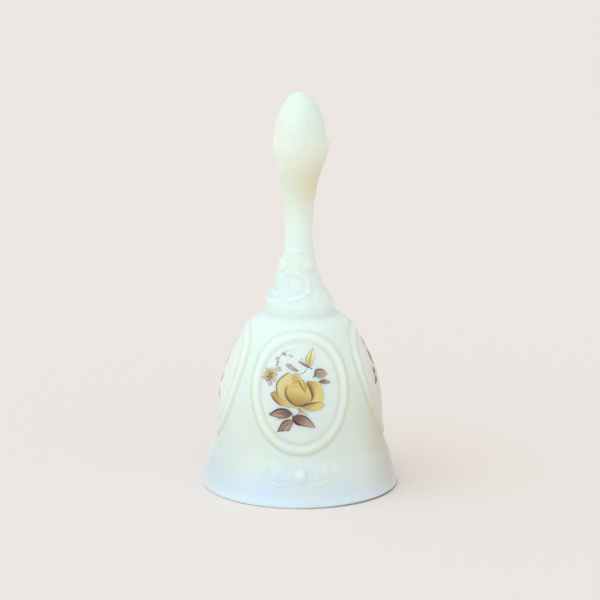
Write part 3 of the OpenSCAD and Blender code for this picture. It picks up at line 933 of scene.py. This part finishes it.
def fire(film):
    layer = film.data.color_attributes.new("enamel", "FLOAT_COLOR", "POINT")
    tone = colour / np.maximum(cover, 0.02)[:, None]
    layer.data.foreach_set("color", np.concatenate([tone, cover[:, None]], axis=1).astype(np.float32).ravel())
    select_only(film)
    bpy.ops.object.mode_set(mode="EDIT")
    bpy.ops.mesh.select_mode(type="VERT")
    bpy.ops.mesh.select_all(action="DESELECT")
    bpy.ops.object.mode_set(mode="OBJECT")
    film.data.vertices.foreach_set("select", cover < 0.02)
    bpy.ops.object.mode_set(mode="EDIT")
    bpy.ops.mesh.delete(type="VERT")
    bpy.ops.object.mode_set(mode="OBJECT")
    wrap = film.modifiers.new("lay_on_glass", "SHRINKWRAP")
    wrap.target = bell
    wrap.wrap_method = "PROJECT"
    wrap.use_project_y = True
    wrap.use_positive_direction = True
    wrap.use_negative_direction = False
    bpy.ops.object.modifier_apply(modifier=wrap.name)
    lift = film.modifiers.new("film_thickness", "DISPLACE")
    lift.mid_level = 0
    lift.direction = "Y"
    lift.strength = -FILM_PROUD * MM
    bpy.ops.object.modifier_apply(modifier=lift.name)
    bpy.ops.object.mode_set(mode="EDIT")
    bpy.ops.mesh.select_all(action="SELECT")
    bpy.ops.mesh.normals_make_consistent(inside=False)
    if sum(f.normal.y * f.area for f in film.data.polygons) > 0:
        bpy.ops.mesh.flip_normals()
    bpy.ops.object.mode_set(mode="OBJECT")
    bpy.ops.object.shade_smooth()
    print(film.name, "points left:", len(film.data.vertices))


def turned_copy(film, name, turn):
    select_only(film)
    bpy.ops.object.duplicate(linked=False)
    copy = bpy.context.object
    copy.name = name
    copy.data.transform(Matrix.Rotation(math.radians(turn), 4, "Z"))
    return copy


fire(rose_film)
films = [rose_film, turned_copy(rose_film, "enamel_rose_back", 180)]

# %% [markdown]
# ### The spray on the side medallions
#
# The two side medallions carry a smaller motif: one curved stem with plum leaves and an opening bud. It is
# painted on a fresh canvas in the same way, and turned a quarter round to each side.

# %% Paint the spray
spray_film = lay_canvas("enamel_spray_right")
line([(2.6, -9.6), (1.6, -5.0), (0.2, 0.0), (-1.2, 5.6), (-1.8, 12.8)], 0.45, PLUM, 0.9, blunt=0.3)
line([(0.4, -0.8), (-2.6, 1.2), (-5.2, 3.4)], 0.30, PLUM_MID, 0.9, blunt=0.3)
line([(-1.0, 4.8), (-3.0, 6.0), (-5.2, 7.6)], 0.28, PLUM_MID, 0.9, blunt=0.3)
leaf_stroke([(-4.6, 3.6), (-6.0, 4.6), (-7.6, 4.0), (-8.6, 2.2)],
            [(-5.8, 2.4), (-7.4, 1.8)], "#8E6F68", "#5C4044", 200, 200)
leaf_stroke([(-5.8, 1.2), (-7.6, 0.9), (-9.6, -0.6), (-10.8, -2.0)],
            [(-6.4, -0.6), (-8.6, -1.8)], "#83635E", "#54393E", 220, 200)
leaf_stroke([(-1.6, 12.6), (-3.4, 11.6), (-4.6, 9.6), (-5.6, 7.2)],
            [(-2.0, 10.4), (-3.2, 8.4)], "#9A8078", "#6A4C4E", 240, 160)
leaf_stroke([(1.0, -2.6), (2.6, -1.0), (4.0, 0.8), (4.4, 3.0)],
            [(3.2, -2.2), (4.8, 0.2)], "#8E6F68", "#B0958A", 60, 20)
leaf_stroke([(2.0, -6.4), (3.6, -5.8), (5.0, -7.0), (5.6, -9.0)],
            [(3.0, -8.0), (4.2, -8.8)], "#8E6F68", "#B0958A", -40, 20)
petal([(-1.8, 12.6), (-3.0, 14.4), (-2.6, 16.4), (-1.4, 17.8)],
      [(-0.2, 14.2), (-0.4, 16.4)],
      "#C8AC64", "#EBDCA4", 80, rim=TAN, rim_side=(0.35, 170), soft=0.3)
petal([(-1.4, 4.4), (-3.2, 6.0), (-3.0, 8.6), (-0.8, 10.0)],
      [(1.4, 4.8), (2.2, 7.4)], "#B7975C", "#DCC984", 80, rim=BROWN, rim_side=(0.6, 230))
petal([(-1.4, 4.6), (-0.2, 6.0), (0.0, 8.0), (-0.8, 9.8)],
      [(1.2, 5.2), (1.8, 7.4)], "#C9AC66", "#E4D49A", 80, rim=BROWN, rim_side=(0.35, 170))
fire(spray_film)
spray_left = turned_copy(spray_film, "enamel_spray_left", 270)
spray_film.data.transform(Matrix.Rotation(math.radians(90), 4, "Z"))
films += [spray_film, spray_left]

# %% Mix the enamel
enamel, tree, shader = new_material("fired_overglaze_enamel")
painted = add_node(tree, "ShaderNodeVertexColor", layer_name="enamel")
place = add_node(tree, "ShaderNodeTexCoord")
speck = add_node(tree, "ShaderNodeTexNoise", {"Vector": place.outputs["Object"]}, Scale=2600.0, Detail=2.0)
speck_amount = add_node(tree, "ShaderNodeMapRange", {"Value": speck.outputs["Fac"]}, To_Min=0.93, To_Max=1.05)
ground = add_node(tree, "ShaderNodeVectorMath", {0: painted.outputs["Color"]}, operation="SCALE")
tree.links.new(speck_amount.outputs["Result"], ground.inputs["Scale"])
tree.links.new(ground.outputs["Vector"], shader.inputs["Base Color"])
tree.links.new(painted.outputs["Alpha"], shader.inputs["Alpha"])
relief = add_node(tree, "ShaderNodeBump", {"Height": speck.outputs["Fac"]}, Strength=0.15, Distance=0.0001)
tree.links.new(relief.outputs["Normal"], shader.inputs["Normal"])
shader.inputs["Roughness"].default_value = 0.38
shader.inputs["IOR"].default_value = 1.52
shader.inputs["Specular IOR Level"].default_value = 0.35
for piece in films:
    piece.data.materials.append(enamel)
    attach(piece, "bell")
print("films:", ", ".join(f.name for f in films))

# %% [markdown]
# ## Brass wire, cement and the bead
#
# Inside the bell hang the pieces that ring it. Their CAD shapes are right, so they only get finishes: drawn
# brass that has dulled a little in the air, gritty cement, and a clear glass bead.

# %% Brass for the anchor, the chain and the pin
brass, tree, shader = new_material("drawn_brass_wire")
place = add_node(tree, "ShaderNodeTexCoord")
tarnish = add_node(tree, "ShaderNodeTexNoise", {"Vector": place.outputs["Object"]}, Scale=420.0, Detail=4.0)
tone_ramp = add_node(tree, "ShaderNodeValToRGB", {"Fac": tarnish.outputs["Fac"]})
set_ramp(tone_ramp, [(0.30, "#A8843E"), (0.52, "#D0AC5E"), (0.75, "#E2C47A")])
tree.links.new(tone_ramp.outputs["Color"], shader.inputs["Base Color"])
dull = add_node(tree, "ShaderNodeMapRange", {"Value": tarnish.outputs["Fac"]}, To_Min=0.40, To_Max=0.18)
tree.links.new(dull.outputs["Result"], shader.inputs["Roughness"])
draw_marks = add_node(tree, "ShaderNodeTexNoise", {"Vector": place.outputs["Object"]},
                      Scale=3000.0, Detail=2.0)
marks = add_node(tree, "ShaderNodeBump", {"Height": draw_marks.outputs["Fac"]},
                 Strength=0.2, Distance=0.00005)
tree.links.new(marks.outputs["Normal"], shader.inputs["Normal"])
shader.inputs["Metallic"].default_value = 1.0

# %% Cement for the plug
cement, tree, shader = new_material("set_cement")
place = add_node(tree, "ShaderNodeTexCoord")
grit = add_node(tree, "ShaderNodeTexNoise", {"Vector": place.outputs["Object"]}, Scale=900.0, Detail=6.0)
grit_ramp = add_node(tree, "ShaderNodeValToRGB", {"Fac": grit.outputs["Fac"]})
set_ramp(grit_ramp, [(0.30, "#B4AD9C"), (0.55, "#D6D0C0"), (0.75, "#E4DFD2")])
tree.links.new(grit_ramp.outputs["Color"], shader.inputs["Base Color"])
rub = add_node(tree, "ShaderNodeBump", {"Height": grit.outputs["Fac"]}, Strength=0.5, Distance=0.0003)
tree.links.new(rub.outputs["Normal"], shader.inputs["Normal"])
shader.inputs["Roughness"].default_value = 0.85

# %% Glass for the bead
bead_glass, tree, shader = new_material("tumbled_bead_glass")
place = add_node(tree, "ShaderNodeTexCoord")
seed = add_node(tree, "ShaderNodeTexNoise", {"Vector": place.outputs["Object"]}, Scale=260.0, Detail=3.0)
seed_ramp = add_node(tree, "ShaderNodeValToRGB", {"Fac": seed.outputs["Fac"]})
set_ramp(seed_ramp, [(0.3, "#DDE9E2"), (0.7, "#F2F6EE")])
tree.links.new(seed_ramp.outputs["Color"], shader.inputs["Base Color"])
scuff = add_node(tree, "ShaderNodeMapRange", {"Value": seed.outputs["Fac"]}, To_Min=0.05, To_Max=0.22)
tree.links.new(scuff.outputs["Result"], shader.inputs["Roughness"])
shader.inputs["IOR"].default_value = 1.5
shader.inputs["Transmission Weight"].default_value = 0.85

# %% Dress the CAD nodes
finishes = {"anchor_cement": cement, "clapper_bead": bead_glass}
for name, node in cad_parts.items():
    if name == "glass_bell":
        continue
    finish = finishes.get(name, brass)
    for slot in node.material_slots:
        slot.material = finish
    print(name, "->", finish.name)
